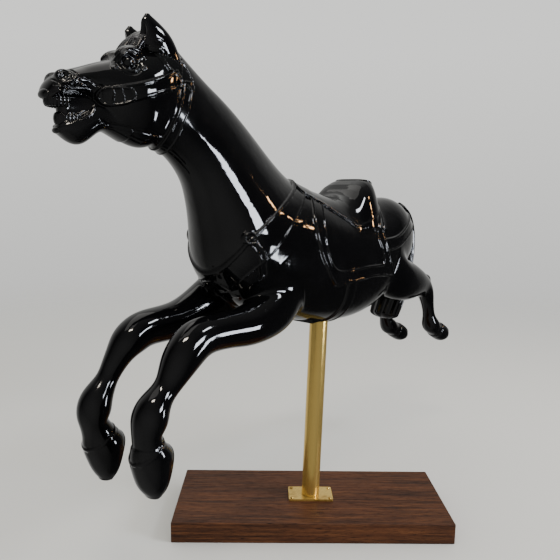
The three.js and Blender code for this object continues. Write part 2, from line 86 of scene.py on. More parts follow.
def span_frame(rings):
    """For each row in the side view: middle, unit line and half its length, and the way onward."""
    middle = (rings[:, 0:2] + rings[:, 2:4]) / 2
    across = (rings[:, 0:2] - rings[:, 2:4]) / 2
    half = np.linalg.norm(across, axis=1)
    across = across / half[:, None]
    return middle, across, half, np.stack([across[:, 1], -across[:, 0]], 1)


def oval_distance(offsets, sizes):
    """Near-distance to an oval: with k0 the reach in half sizes and k1 its slope, k0 (k0 - 1) / k1."""
    k0 = np.sqrt(sum((o / s)**2 for o, s in zip(offsets, sizes))) + 1e-9
    k1 = np.sqrt(sum((o / s / s)**2 for o, s in zip(offsets, sizes))) + 1e-9
    return k0 * (k0 - 1) / k1


class Form:
    """A limb, trunk or tail: span rows, how far each end bulges, flutes (count, depth) round the section."""

    def __init__(self, rows, start=0.0, end=0.0, flutes=(0, 0.0), twist=0.0):
        self.at = flowing_curve(rows)
        self.start, self.end, self.flutes, self.twist = start, end, flutes, twist
        self.last = len(rows) - 1.0
        self.steps = np.linspace(0, self.last, (len(rows) - 1) * 3 + 1)
        rings = self.at(self.steps)
        self.middle, _, half, onward = span_frame(rings)
        self.sign = np.sign(((self.middle[1:] - self.middle[:-1]) * onward[:-1]).sum())
        self.onward = onward * self.sign
        (x, z), y = self.middle.T, rings[:, 4]
        reach, width = half + max(start, end, 4.0), rings[:, 5] * (1 + np.abs(rings[:, 6]))
        self.low = np.array([(x - reach).min(), (y - width).min(), (z - reach).min()])
        self.high = np.array([(x + reach).max(), (y + width).max(), (z + reach).max()])

    def section(self, points, t, lift):
        """Near-distance to the oval at t; lift is the way beyond an end over the end's bulge."""
        r = self.at(t)
        middle, across, depth, _ = span_frame(r)
        v = ((points[:, [0, 2]] - middle) * across).sum(1)
        u = points[:, 1] - r[:, 4]
        width = r[:, 5] * (1 - r[:, 6] * np.clip(v / depth, -TAPER_END, TAPER_END))
        if self.flutes[0]:
            angle = np.arctan2(u / width, v / depth)
            wave = 1 + self.flutes[1] * np.cos(self.flutes[0] * angle + self.twist * t)
            width, depth = width * wave, depth * wave
        least = np.minimum(depth, width)
        return oval_distance((v, u, lift * least), (depth, width, least))

    def field(self, points):
        """The side view tells which ring line a point lies on; its near-distance is taken there."""
        out = np.full(len(points), FAR)
        near = np.flatnonzero(((points > self.low - MARGIN) & (points < self.high + MARGIN)).all(1))
        if not len(near):
            return out
        p = points[near]
        value = np.full(len(p), FAR)
        side = p[:, [0, 2]] @ self.onward.T - (self.middle * self.onward).sum(1)
        found, j = np.nonzero((side[:, :-1] >= 0) & (side[:, 1:] < 0))
        here, there = side[found, j], side[found, j + 1]
        step = self.steps[1]
        t = (j + here / (here - there)) * step
        middle, _, _, onward = span_frame(self.at(t))
        slip = ((p[found][:, [0, 2]] - middle) * onward).sum(1) * self.sign
        t = np.clip(t + slip * step / (here - there), 0, self.last)
        np.minimum.at(value, found, self.section(p[found], t, 0.0))
        for tip, bulge, beyond in ((0.0, self.start, -side[:, 0]), (self.last, self.end, side[:, -1])):
            who = np.flatnonzero(beyond > 0)
            t, ahead = np.full(len(who), tip), beyond[who]
            distance = self.section(p[who], t, ahead / bulge if bulge else 0.0)
            np.minimum.at(value, who, distance if bulge else np.maximum(distance, ahead))
        out[near] = value
        return out


def limb(rows, **ends):
    """Limb rows (x, y, z, half depth, half width) become span rows square to the path in the side view."""
    rows = np.array(rows, float)
    path = rows[:, [0, 2]]
    run = np.gradient(path, axis=0)
    run /= np.linalg.norm(run, axis=1)[:, None]
    across = np.stack([-run[:, 1], run[:, 0]], 1) * rows[:, 3:4]
    spans = np.concatenate([path + across, path - across, rows[:, [1, 4]], np.zeros((len(rows), 1))], 1)
    return Form(spans, **ends)


def egg(points, centre, sizes, tip=0.0):
    """Near-distance to an egg whose first half size, in the side view, rises by tip degrees."""
    turn = np.radians(tip)
    x, y, z = (points - np.array(centre)).T
    along, rise = x * np.cos(turn) + z * np.sin(turn), z * np.cos(turn) - x * np.sin(turn)
    return oval_distance((along, y, rise), sizes)


def flow(a, b, k):
    """Joins two near-distances; where they are within k mm of each other, the joint is rounded."""
    h = np.maximum(k - np.abs(a - b), 0) / k
    return np.minimum(a, b) - h**3 * k / 6


def cut(a, b, k):
    """Takes b out of a, with the edge eased over k."""
    return -flow(-a, b, k)


TRUNK = Form([
    [292, 628, 290, 556, 0, 40, 0], [272, 664, 268, 520, 0, 66, -0.05], [232, 690, 228, 492, 0, 80, -0.05],
    [172, 702, 168, 470, 0, 87, 0], [104, 706, 100, 452, 0, 90, 0.05], [34, 692, 32, 438, 0, 92, 0.08],
    [-40, 676, -42, 429, 0, 93, 0.08], [-110, 672, -112, 430, 0, 92, 0.08],
    [-180, 680, -180, 446, 0, 88, 0.06], [-244, 691, -240, 476, 0, 78, 0], [-300, 685, -294, 500, 0, 66, 0],
    [-345, 660, -340, 524, 0, 48, 0], [-372, 624, -366, 562, 0, 28, 0],
], start=12, end=12)
NECK_ROWS = [
    [372, 893, 430, 754, 0, 30, 0.2], [344, 875, 398, 744, 0, 33, 0.3], [311, 855, 370, 724, 0, 36, 0.36],
    [272, 833, 347, 696, 0, 41, 0.4], [228, 803, 333, 662, 0, 49, 0.4], [186, 770, 324, 627, 0, 59, 0.38],
    [147, 740, 318, 592, 0, 70, 0.34], [110, 718, 308, 556, 0, 78, 0.28], [70, 702, 286, 524, 0, 80, 0.15]]
NECK = Form(NECK_ROWS)


# ----------------------------------------
# Legs and hooves. Each leg is carved with its hoof in one: a limb along the bones, then the hoof, which is
# cut flat at the sole. A limb's rows are centre x, y, z, half depth and half width; a hoof has span rows.
NEAR_FORE = limb([
    [150, 40, 520, 46, 34], [198, 47, 490, 44, 36], [260, 52, 475, 36, 33], [307, 52, 474, 31, 29],
    [350, 51, 474, 30, 27], [380, 50, 468, 32, 28], [402, 50, 453, 31, 28], [419, 50, 434, 26, 26],
    [433, 50, 415, 20.5, 20.5], [447, 50, 401, 20, 20], [460, 50, 387, 24, 25], [468, 50, 371, 26, 27],
    [472, 50, 356, 23, 24], [473, 50, 343, 21, 22], [469, 50, 326, 24, 24]])
FAR_FORE = limb([
    [150, -46, 542, 62, 38], [216, -52, 512, 54, 38], [278, -52, 490, 42, 34], [336, -50, 478, 32, 29],
    [388, -50, 475, 29.5, 28], [415, -50, 468, 29, 28], [432, -50, 457, 26, 27], [446, -50, 442, 21, 22],
    [459, -50, 424, 17.5, 18], [470, -50, 407, 17, 17], [483, -50, 389, 22, 22], [491, -50, 372, 25, 25],
    [494, -50, 357, 23, 24], [492, -50, 344, 21, 22], [485, -50, 326, 25, 24]])
NEAR_HIND = limb([
    [-190, 48, 540, 62, 40], [-240, 55, 508, 53, 42], [-290, 57, 494, 48, 38], [-335, 57, 486, 40, 32],
    [-372, 56, 478, 32, 26], [-400, 55, 466, 27, 22], [-418, 55, 448, 23, 20], [-431, 55, 423, 17, 17],
    [-442, 55, 395, 15, 15.5], [-450, 55, 375, 18, 19], [-461, 55, 359, 22, 23], [-476, 55, 348, 20, 22],
    [-492, 55, 340, 21, 22]])
FAR_HIND = limb([
    [-190, -48, 540, 62, 40], [-240, -55, 508, 53, 42], [-280, -57, 492, 46, 38], [-318, -57, 480, 38, 32],
    [-350, -57, 468, 31, 26], [-374, -58, 454, 27, 22], [-390, -58, 434, 23, 20], [-402, -58, 407, 17, 17],
    [-414, -58, 378, 15, 15.5], [-425, -58, 356, 18, 19], [-438, -58, 342, 22, 23], [-455, -58, 332, 20, 22],
    [-472, -58, 325, 21, 22]])
NEAR_FORE_HOOF = Form([
    [496, 332, 446, 332, 50, 24, 0], [498, 316, 434, 318, 50, 27, 0], [494, 297, 436, 296, 50, 27, 0],
    [486, 274, 444, 272, 50, 23, 0], [474, 257, 456, 256, 50, 14, 0]], start=7, end=4)
FAR_FORE_HOOF = Form([
    [508, 328, 456, 328, -50, 24, 0], [509, 312, 446, 314, -50, 28, 0], [504, 293, 448, 292, -50, 26, 0],
    [495, 271, 455, 269, -50, 21, 0], [485, 255, 466, 254, -50, 12, 0]], start=7, end=4)
HIND_HOOF = np.array([
    [-484, 320, -498, 360, 55, 22, 0], [-500, 312, -516, 355, 55, 24, 0], [-522, 304, -538, 344, 55, 23, 0],
    [-543, 303, -552, 327, 55, 16, 0]])
HIND_LINES = np.array([(-512, 356), (-566, 318), (-476, 318), (-510, 362)])
# Each foot: its limb, its hoof, the sole's line in the side view with the hoof on its left, and the
# coronet's line, where a raised cord runs round the top of the hoof.
FEET = [
    (NEAR_FORE, NEAR_FORE_HOOF, (434, 318), (456, 248), (502, 312), (446, 345)),
    (FAR_FORE, FAR_FORE_HOOF, (446, 314), (470, 245), (514, 307), (458, 340)),
    (NEAR_HIND, Form(HIND_HOOF, start=6, end=4), *HIND_LINES),
    (FAR_HIND, Form(HIND_HOOF + (20, -15, 20, -15, -113, 0, 0), start=6, end=4), *(HIND_LINES + (20, -15))),
]
HOCKS, HOCK_SIZES, HOCK_TIP = [(-414, 55, 486), (-390, -58, 472)], (16, 12, 12), 30
# The sole's rim: height and place. The coronet: height and half width of its cord, and the leg's step there.
RIM, RIM_AT, CORD, CORD_HALF, STEP = 0.9, 4.5, 1.6, 2.6, 0.8


def beyond_line(p, start, end):
    """Side-view distance to the left of the line from start to end."""
    run = np.array(end, float) - start
    run /= np.hypot(*run)
    return (p[:, 2] - start[1]) * run[0] - (p[:, 0] - start[0]) * run[1]


def legs(p):
    """Limbs and hooves, each hoof cut flat at the sole, with a rim there and a cord at its top."""
    value = np.full(len(p), FAR)
    for shank, hoof, start, end, front, back in FEET:
        foot, upper = hoof.field(p), shank.field(p)
        close = np.flatnonzero(foot < 20)
        if len(close):
            q = p[close]
            depth, rise = beyond_line(q, start, end), beyond_line(q, front, back)
            wall = cut(foot[close], depth, 3) - RIM * bead(depth, RIM_AT, CORD_HALF)
            joined = flow(upper[close], wall, 3) - STEP * ramp(rise, 3)
            foot[close] = joined - CORD * bead(rise, 0, CORD_HALF) * ramp(depth, 4)
            upper[close] = foot[close]
        value = np.minimum(value, np.minimum(upper, foot))
    for hock in HOCKS:
        value = flow(value, egg(p, hock, HOCK_SIZES, HOCK_TIP), 9)
    return value


# ----------------------------------------
# Tail. It hangs from the rump between the hind legs, carved as twisted locks under a smooth root.
TAIL = limb([
    [-340, 0, 664, 18, 16], [-372, 0, 648, 20, 20], [-392, -3, 612, 22, 26], [-400, -9, 560, 24, 31],
    [-396, -18, 500, 26, 36], [-382, -28, 440, 28, 40], [-368, -36, 390, 25, 38]],
    start=8, end=14, flutes=(9, 0.075), twist=0.5)


# ----------------------------------------
# Saddle and tack. All of it is carved in one with the horse: flat straps with a bead along each edge, a
# saddle cloth with a sunk border, skirts over it, and a broad seat that rises to the cantle. Outlines are
# drawn in the side view, and the relief stands out of the body's own surface by a height.
def smooth_outline(points, closed=True, count=12):
    """A smooth curve through the points, count places for each; a closed one runs on round."""
    p = np.array(points, float)
    if closed:
        p = np.concatenate([p[-3:], p, p[:3]])
    at = flowing_curve(p)
    first, last = (3, len(p) - 3) if closed else (0, len(p) - 1)
    return at(np.linspace(first, last, (last - first) * count, endpoint=not closed))


class SideLine:
    """A line in the side view as a grid of distances to it; beyond is the value off the grid."""

    def __init__(self, points, closed, pitch, reach, beyond):
        p = np.array(points, float)
        start, end = (p, np.roll(p, -1, 0)) if closed else (p[:-1], p[1:])
        run = end - start
        self.low, self.pitch, self.beyond = p.min(0) - reach, pitch, beyond
        size = np.ceil((p.max(0) + reach - self.low) / pitch).astype(int) + 1
        spots = np.stack(np.meshgrid(*map(np.arange, size), indexing="ij"), -1).reshape(-1, 1, 2) * pitch
        shares = []
        for s in np.array_split(spots + self.low, len(spots) // 8000 + 1):
            along = np.clip(((s - start) * run).sum(2) / (run**2).sum(1), 0, 1)[..., None]
            gap = np.sqrt(((s - start - along * run)**2).sum(2)).min(1)
            if closed:
                crosses = (start[:, 1] > s[..., 1]) != (end[:, 1] > s[..., 1])
                with np.errstate(divide="ignore", invalid="ignore"):
                    reach_x = start[:, 0] + (s[..., 1] - start[:, 1]) * run[:, 0] / run[:, 1]
                gap *= (crosses & (s[..., 0] < reach_x)).sum(1) % 2 * 2 - 1
            shares.append(gap)
        self.grid = np.concatenate(shares).reshape(size)

    def distance(self, p):
        """The four grid values round each point, weighed by nearness."""
        g = (p[:, [0, 2]] - self.low) / self.pitch
        here = np.flatnonzero(((g >= 0) & (g <= np.array(self.grid.shape) - 1.001)).all(1))
        i = g[here].astype(int)
        (a, b), (f, h) = i.T, (g[here] - i).T
        first = self.grid[a, b] * (1 - f) + self.grid[a + 1, b] * f
        second = self.grid[a, b + 1] * (1 - f) + self.grid[a + 1, b + 1] * f
        value = np.full(len(p), self.beyond)
        value[here] = first * (1 - h) + second * h
        return value


class Outline(SideLine):
    """A closed outline: its distances are positive inside and negative outside."""

    def __init__(self, points, pitch=1.5, reach=9.0):
        super().__init__(points, True, pitch, reach, -9.0)


class Stroke(SideLine):
    """An open line, smooth or straight."""

    def __init__(self, points, smooth=True, reach=5.0):
        line = smooth_outline(points, False, 6) if smooth else points
        super().__init__(line, False, 1.0, reach, 99.0)


def ramp(d, width):
    """Smooth step from 0 to 1 as d goes from 0 to width."""
    s = np.clip(d / width, 0, 1)
    return s * s * (3 - 2 * s)


def bead(d, at, half):
    """A rounded bead of unit height, centred a distance at inside the edge."""
    return np.clip(1 - ((d - at) / half)**2, 0, 1)


def raised(edge, layer):
    """A layer's height at a distance inside its outline: an eased edge, and a bead along it."""
    height, ease, bead_height, bead_at, bead_half = layer
    return ramp(edge + 0.8, ease) * height + bead_height * bead(edge, bead_at, bead_half)


def band(upper, lower):
    """The outline of a strap between its two edges."""
    return np.concatenate([smooth_outline(upper, False), smooth_outline(lower, False)[::-1]])


COLLAR = Outline(band(
    [[118, 712], [140, 700], [180, 682], [220, 662], [256, 640], [282, 620], [297, 600], [308, 578],
    [316, 548]],
    [[92, 698], [116, 684], [147, 663], [183, 640], [208, 619], [233, 598], [257, 577], [276, 558],
    [286, 528]]))
GIRTH = Outline([[24, 530], [6, 416], [-22, 416], [-8, 530]])
BREECHING = Outline(band(
    [[-130, 603], [-182, 606], [-230, 618], [-300, 645], [-390, 680]],
    [[-130, 574], [-182, 579], [-230, 590], [-300, 615], [-390, 648]]))
CLOTH = Outline(smooth_outline([
    [60, 720], [84, 702], [107, 671], [121, 640], [119, 600], [103, 567], [84, 541], [70, 527], [50, 519],
    [-5, 523], [-82, 526], [-140, 521], [-170, 518], [-172, 524], [-151, 552], [-140, 590], [-141, 624],
    [-160, 654], [-190, 690], [-160, 720], [-50, 735]]))
PANEL = Outline(smooth_outline([
    [40, 705], [56, 688], [78, 660], [90, 634], [96, 606], [90, 580], [76, 560], [54, 549], [10, 547],
    [-50, 550], [-104, 549], [-117, 556], [-116, 580], [-110, 609], [-122, 640], [-152, 668], [-140, 700],
    [-50, 716]]))
SKIRT = Outline(smooth_outline([
    [118, 712], [108, 693], [90, 685], [65, 675], [37, 663], [9, 651], [-20, 637], [-32, 630], [-42, 629],
    [-69, 635], [-108, 649], [-146, 664], [-178, 682], [-190, 704], [-120, 730], [0, 740], [80, 730]]))
SEAT = Form([
    [118, 702, 114, 640, 0, 24, 0], [90, 697, 88, 630, 0, 36, 0], [62, 691, 60, 622, 0, 44, 0],
    [10, 686, 10, 606, 0, 52, 0], [-40, 686, -40, 600, 0, 55, 0], [-90, 692, -84, 606, 0, 54, 0],
    [-134, 700, -118, 624, 0, 40, 0]], start=6, end=12)
# Height of each layer, width of its eased edge, then its bead: height, place and half width.
STRAP_LAYER, BRIDLE_LAYER = (2.1, 2.0, 1.4, 2.6, 2.3), (2.1, 2.0, 1.0, 2.6, 2.3)
CLOTH_LAYER, SKIRT_LAYER = (2.4, 2.0, 1.6, 3.0, 2.6), (4.2, 2.2, 1.3, 2.8, 2.4)
BORDER_BEAD, PANEL_SINK = 1.6, 1.3

# The collar's buckle on each shoulder: a ring, and the strap end that hangs from it to the breast.
BUCKLE, BUCKLE_RADIUS, BUCKLE_RISE = (283.0, 618.5), 9, 5.6
HANGER = Stroke([[281, 612], [270, 602], [261, 590], [256, 574], [250, 560]], reach=9)
HANGER_HALF, HANGER_LAYER = 6.7, (2.4, 1.6, 1.2, 1.5, 2.0)
# Folds of the breast: line, half width and height.
BREAST_LINES = [(Stroke([[314, 578], [308, 564], [300, 550], [288, 533], [262, 516]]), 3.2, 1.5),
                (Stroke([[312, 592], [305, 577], [305, 564], [300, 552]]), 2.6, -1.2)]


def tack_height(p):
    """How far the tack stands out of the trunk: the highest of its layers at that place."""
    collar, cloth, panel = COLLAR.distance(p), CLOTH.distance(p), PANEL.distance(p)
    folds = sum(lift * bead(line.distance(p), 0, half) for line, half, lift in BREAST_LINES)
    border = BORDER_BEAD * bead(panel, -0.5, 2.5) - PANEL_SINK * ramp(panel - 1.5, 3)
    from_buckle = np.hypot(p[:, 0] - BUCKLE[0], p[:, 2] - BUCKLE[1])
    return np.maximum.reduce([
        np.where(np.abs(collar) < 9, 0, folds * ramp(np.abs(p[:, 1]) - 6, 8)),
        raised(collar, STRAP_LAYER), raised(GIRTH.distance(p), STRAP_LAYER),
        raised(BREECHING.distance(p), STRAP_LAYER),
        raised(HANGER_HALF - HANGER.distance(p), HANGER_LAYER),
        BUCKLE_RISE * bead(from_buckle, BUCKLE_RADIUS, 3.2),
        raised(cloth, CLOTH_LAYER) + border * ramp(cloth - 4, 2),
        raised(SKIRT.distance(p), SKIRT_LAYER)])


# The cantle: its line from the side; its middle, half length and half width, and their gain further down.
CANTLE_LINE = np.array([[-36, 668], [-60, 684], [-76, 700], [-90, 711], [-108, 720], [-132, 728],
                        [-186, 732]])
CANTLE_AT, CANTLE_HALF, CANTLE_GAIN = -98, np.array([64.0, 46.0]), np.array([0.45, 0.75])
CANTLE_TOP, CANTLE_FOOT, CANTLE_ROUND, SADDLE_BASE = 736, 622, 42, 630


def cantle(p):
    """An oval block that widens downwards, under the cantle's side-view line."""
    line = np.interp(-p[:, 0], -CANTLE_LINE[:, 0], CANTLE_LINE[:, 1])
    down = np.clip((CANTLE_TOP - p[:, 2]) / (CANTLE_TOP - CANTLE_FOOT), 0, 1)[:, None]
    half = CANTLE_HALF * (1 + CANTLE_GAIN * down)
    plan = oval_distance((p[:, 0] - CANTLE_AT, p[:, 1]), half.T)
    return cut(plan * 0.9, (line - p[:, 2]) * 0.84, CANTLE_ROUND)


def saddle(p):
    """Seat and cantle flow together; the block stands no deeper than the saddle's own base."""
    value = np.full(len(p), FAR)
    near = np.flatnonzero((p[:, 2] > SADDLE_BASE - 40) & (p[:, 0] > -220) & (p[:, 0] < 140))
    q = p[near]
    value[near] = flow(SEAT.field(q), np.maximum(cantle(q), SADDLE_BASE - q[:, 2]), 18)
    return value


# ----------------------------------------
# Head. It is the most finely carved part: an open mouth with two rows of teeth, wrinkles round the muzzle,
# lidded eyes, cupped ears, curls of the forelock, and the bridle carved on with the plate of its bit.
# The head swings to the right, so its details are placed across it: x along it, s out from its middle.
HEAD_TURN = -0.12
SKULL = Form([
    [380, 894, 410, 768, 0, 31, 0], [403, 901, 427, 752, -2, 38, 0.05], [429, 890, 447, 750, -5, 43, 0.02],
    [454, 876, 468, 758, -9, 43, -0.02], [478, 863, 486, 771, -11, 37, -0.05],
    [501, 854, 505, 797, -13, 29, 0], [523, 845, 522, 809, -16, 25, 0.1],
    [543, 837, 540, 808, -18, 26, 0.05], [556, 829, 554, 803, -20, 25, 0.05],
    [564, 820, 562, 799, -21, 20, 0.05], [568, 811, 566, 799, -22, 13, 0.05]], end=4)
JAW = Form([
    [464, 803, 464, 755, -9, 27, 0.1], [488, 809, 482, 763, -11, 24, 0.1],
    [507, 805, 499, 764, -13, 21, 0.05], [525, 793, 519, 749, -16, 20, 0], [539, 783, 536, 748, -18, 18, 0],
    [550, 773, 547, 755, -19, 14, 0], [555, 766, 552, 758, -20, 9, 0]], end=3)
# Tongue and palate in one: the dark wall that closes the mouth behind the teeth.
MOUTH_BACK = Form([
    [480, 824, 478, 772, -10, 19, 0.3], [506, 821, 502, 772, -13, 16, 0.3],
    [526, 819, 522, 772, -16, 13, 0.3], [546, 817, 543, 772, -18, 11, 0.3]], end=8)
# The seam with the neck's piece runs along the rear edge of the straps behind the ears and jowl.
HEAD_AREA = Outline([
    [424, 926], [411, 893], [398, 886], [376, 878], [364, 866], [356, 852], [356, 842], [362, 832],
    [369, 815], [374, 801], [381, 787], [392, 762], [402, 735], [406, 712], [640, 712], [640, 940],
    [424, 940]], 2.0, 14.0)
SEAM_LAP = 7        # how far the neck's piece runs on under the head's


def across_head(p):
    """Places as (x along the head, s out from its middle plane, z), turning the head's swing back."""
    s = (p[:, 1] - HEAD_TURN * (p[:, 0] - 392)) / (1 + HEAD_TURN**2)
    return np.stack([p[:, 0] + HEAD_TURN * s, s, p[:, 2]], 1)


def head_and_neck(p):
    """Skull and jaw flow together, and into the neck."""
    return flow(NECK.field(p), flow(SKULL.field(p), JAW.field(p), 4), 8)


CHEEK_STRAP = Outline(band(
    [[508, 816], [494, 820], [474, 826], [448, 834], [420, 846], [392, 860]],
    [[506, 806], [500, 799], [484, 799], [464, 805], [427, 819], [376, 838]]), 1.0)
CROWN_STRAP = Outline(band(
    [[448, 920], [438, 893], [427, 877], [417, 864], [405, 853], [383, 843], [362, 831]],
    [[424, 920], [412, 893], [398, 885], [376, 878], [364, 866], [356, 852], [350, 840]]), 1.0)
THROAT_STRAP = Outline(band(
    [[379, 848], [381, 839], [388, 821], [394, 803], [400, 789], [408, 770], [424, 730]],
    [[352, 850], [362, 832], [369, 815], [374, 801], [381, 787], [388, 769], [404, 728]]), 1.0)
BIT_PLATE = Outline(smooth_outline([
    [511, 809], [506, 817], [498, 820], [484, 821.5], [471, 821.5], [464, 816], [466, 807], [476, 800],
    [494, 796.5], [505, 800.5]]), 1.0)
# The bit's plate: its height, its rim's and bars' further height, and the bars with half their width.
PLATE_RAISE, PLATE_RIDGE = 2.6, 1.9
BIT_BARS = [(Stroke([[494.5, 822], [491, 810], [491.5, 796]], False), 1.6),
            (Stroke([[484, 823], [480, 810], [478.5, 797]], False), 1.4)]


def bridle_height(q):
    """Straps with beaded edges; the bit's plate has a rim and bars round three sunk cells."""
    straps = [raised(strap.distance(q), BRIDLE_LAYER) for strap in (CHEEK_STRAP, CROWN_STRAP, THROAT_STRAP)]
    plate = BIT_PLATE.distance(q)
    bars = [ramp(half - bar.distance(q), 1.2) for bar, half in BIT_BARS]
    ridge = np.maximum.reduce([bead(plate, 1.7, 1.9), *bars])
    return np.maximum.reduce([*straps, ramp(plate + 0.6, 1.4) * (PLATE_RAISE + PLATE_RIDGE * ridge)])


# Lines carved in the head's sides, seen from the side: points, half width, and height (sunk if negative).
FACE_LINES = [
    ([[561, 805], [556, 807], [550, 809], [542, 812], [533, 813], [523, 814], [516, 812.5],
      [511, 807]], 2.2, 1.5),
    ([[511, 805], [511, 800], [517, 794], [525, 788], [533, 782], [541, 777], [549, 771],
      [554, 768]], 2.0, 1.5),
    ([[509, 801], [515, 792], [522, 786], [530, 780], [541, 773]], 1.6, -1.3),
    ([[508, 799], [513, 788], [520, 781], [528, 776]], 1.8, 1.0),
    ([[557, 811], [553, 811], [549, 813], [547, 811], [551, 807]], 1.5, -1.3),
    ([[561, 814.5], [555, 815], [547, 817], [541, 820.5]], 1.6, -1.2),
    ([[545, 812.5], [541, 814], [537, 816], [533, 819.5]], 1.6, -1.3),
    ([[533, 824], [530, 822], [525, 820], [521, 820]], 1.6, -1.3),
    ([[517, 826], [514, 822.5], [509, 820]], 1.6, -1.0),
    ([[538, 842], [537, 836], [534, 831], [528, 828], [518, 826.5], [510, 822], [503, 820]], 2.2, -1.8),
    ([[487, 847], [481, 856], [475, 866], [464, 874], [452, 873], [443, 866]], 3.0, 1.6),
    ([[489, 846], [484, 847.5], [479, 851]], 2.0, 1.2),
    ([[454, 848], [449, 849.5], [445, 853]], 2.2, 1.3),
    ([[503, 778], [488, 775], [470, 772.5], [451, 769], [430, 767], [412, 767]], 2.6, -1.5),
    ([[553, 829], [549, 831], [546, 828], [548.5, 825], [551, 826.5]], 1.5, 1.2),
]
FACE_LINES = [(Stroke(points), half, height) for points, half, height in FACE_LINES]
# Rings round the eye and the nostril: centre, radius, half width, and height (sunk if negative).
EYE, NOSTRIL = (466.0, 856.0), (549.5, 826.0)
FACE_RINGS = [(EYE, 11.4, 2.4, 2.0), (EYE, 15.6, 2.4, -0.9),
              (NOSTRIL, 8.4, 2.0, 1.6), (NOSTRIL, 11.4, 1.4, -1.0)]
# Eggs on each side of the head: centre (x, s, z), half sizes, tip in degrees.
BROW, NOSE = ((461, 19, 866), (22, 13, 14), -20), ((549, 14, 826), (10, 8, 8.5), -20)
SOCKET, EYEBALL = ((466, 34.5, 856), (9.4, 8.0, 9.4)), ((465.6, 24.5, 856), (8.7, 9.2, 8.7))
NOSTRIL_PIT = ((550.5, 27.5, 827), (6.4, 7.5, 5.6), -30)
# A row of teeth: front, how far it reaches back, half width, height of its middle, half height of a tooth.
UPPER_TEETH, LOWER_TEETH = (569, 26, 13.5, 798, 7.5), (557, 26, 11.5, 777, 8)
TEETH_ON_SIDE, TEETH_TURN, TOOTH_LENGTH, TOOTH_WIDTH = 8, np.radians(84), 3.6, 3.4


def teeth(q, front, reach, half_width, middle, tall):
    """Upright eggs on a horseshoe, as many on each side."""
    value = np.full(len(q), FAR)
    near = np.flatnonzero((np.abs(q[:, 2] - middle) < tall + 12) & (q[:, 0] > front - reach - 12))
    r = np.stack([q[near, 0], np.abs(q[near, 1]), q[near, 2]], 1)
    for angle in (np.arange(TEETH_ON_SIDE) + 0.5) / TEETH_ON_SIDE * TEETH_TURN:
        x, s = front - 4 - reach + reach * np.cos(angle), half_width * np.sin(angle)
        value[near] = np.minimum(value[near], egg(r, (x, s, middle), (TOOTH_LENGTH, TOOTH_WIDTH, tall)))
    return value


# The left ear's span rows, root to tip. The right one rises less. Hollows: centre, half sizes, tip.
EAR_ROWS = [[443, 886, 377, 868, 20, 12, 0], [446, 897, 388, 888, 22, 11, 0], [445, 908, 400, 904, 23, 9, 0],
            [443, 916, 416, 916, 23, 6.5, 0], [438, 924, 430, 924, 23, 3, 0]]
EAR_ROOT, EAR_RISE = 878, {1: 1.0, -1: 0.84}
EAR_HOLLOWS = {1: ((447, 27, 905), (8.5, 9.5, 17), -12), -1: ((447, -27, 901), (8.5, 9.5, 14), -12)}


def ear(side):
    """The left ear for 1, the right ear for -1."""
    rows = np.array(EAR_ROWS, float)
    rows[:, [1, 3]] = EAR_ROOT + (rows[:, [1, 3]] - EAR_ROOT) * EAR_RISE[side]
    rows[:, 4] *= side
    return Form(rows, end=2)


EARS = {side: ear(side) for side in (1, -1)}


GROOVES, GROOVE_DEPTH, GROOVE_TURN = 4, 0.06, 0.12     # round a lock: how many, how deep, turn per step


class Lock:
    """A carved lock of hair on a smooth path: full at three eighths, a fifth as thick at its tip."""

    def __init__(self, points, thick):
        t = np.linspace(0, len(points) - 1, 6 * len(points))
        self.path = flowing_curve(points)(t)
        self.thick = thick * np.sqrt(np.maximum(0.04, 1 - (1.6 * t / t[-1] - 0.6)**2))
        reach = thick + 8
        self.low, self.high = self.path.min(0) - reach, self.path.max(0) + reach

    def field(self, p):
        """The nearest place on the path gives the distance; the grooves are a wave round it there."""
        out = np.full(len(p), FAR)
        near = np.flatnonzero(((p > self.low) & (p < self.high)).all(1))
        if not len(near):
            return out
        q = p[near][:, None, :]
        start, run = self.path[:-1], self.path[1:] - self.path[:-1]
        share = np.clip(((q - start) * run).sum(2) / (run**2).sum(1), 0, 1)
        gap = q - start - share[..., None] * run
        size = self.thick[:-1] + share * (self.thick[1:] - self.thick[:-1])
        away = np.sqrt((gap**2).sum(2))
        which = (away - size).argmin(1)
        rows = np.arange(len(near))
        gap, away, size = gap[rows, which], away[rows, which], size[rows, which]
        turn = np.arctan2(gap[:, 1], gap[:, 2])
        wave = GROOVE_DEPTH * np.cos(GROOVES * turn + GROOVE_TURN * which)
        out[near] = away - size * (0.96 + wave)
        return out


# The forelock's locks lie side by side from the poll down over the brow, every second one a little shorter.
FORELOCK = [Lock([[408 - 0.4 * abs(y), 0.5 * y - 4, 893], [426, 0.8 * y - 4, 902 - 0.2 * abs(y)],
                  [444, y - 5, 893 - 0.3 * abs(y)], [tip, 1.15 * y - 6, 878 - 0.5 * abs(y)]], 8)
            for tip, y in zip((460, 455) * 3, (-20, -12, -4, 4, 12, 18))]
# Curls that sweep out over the strap under each ear: x along, s out, z.
EAR_CURLS = [[[446, 14, 891], [438, 22, 889], [426, 27.5, 887], [412, 26, 885]],
             [[440, 20, 894], [428, 27, 892], [416, 28, 890], [404, 24, 888]],
             [[438, 16, 883], [430, 25, 881], [418, 29, 880], [406, 27, 880]]]
CURLS = {side: [Lock([[x, side * s, z] for x, s, z in curl], 5.0) for curl in EAR_CURLS] for side in (1, -1)}


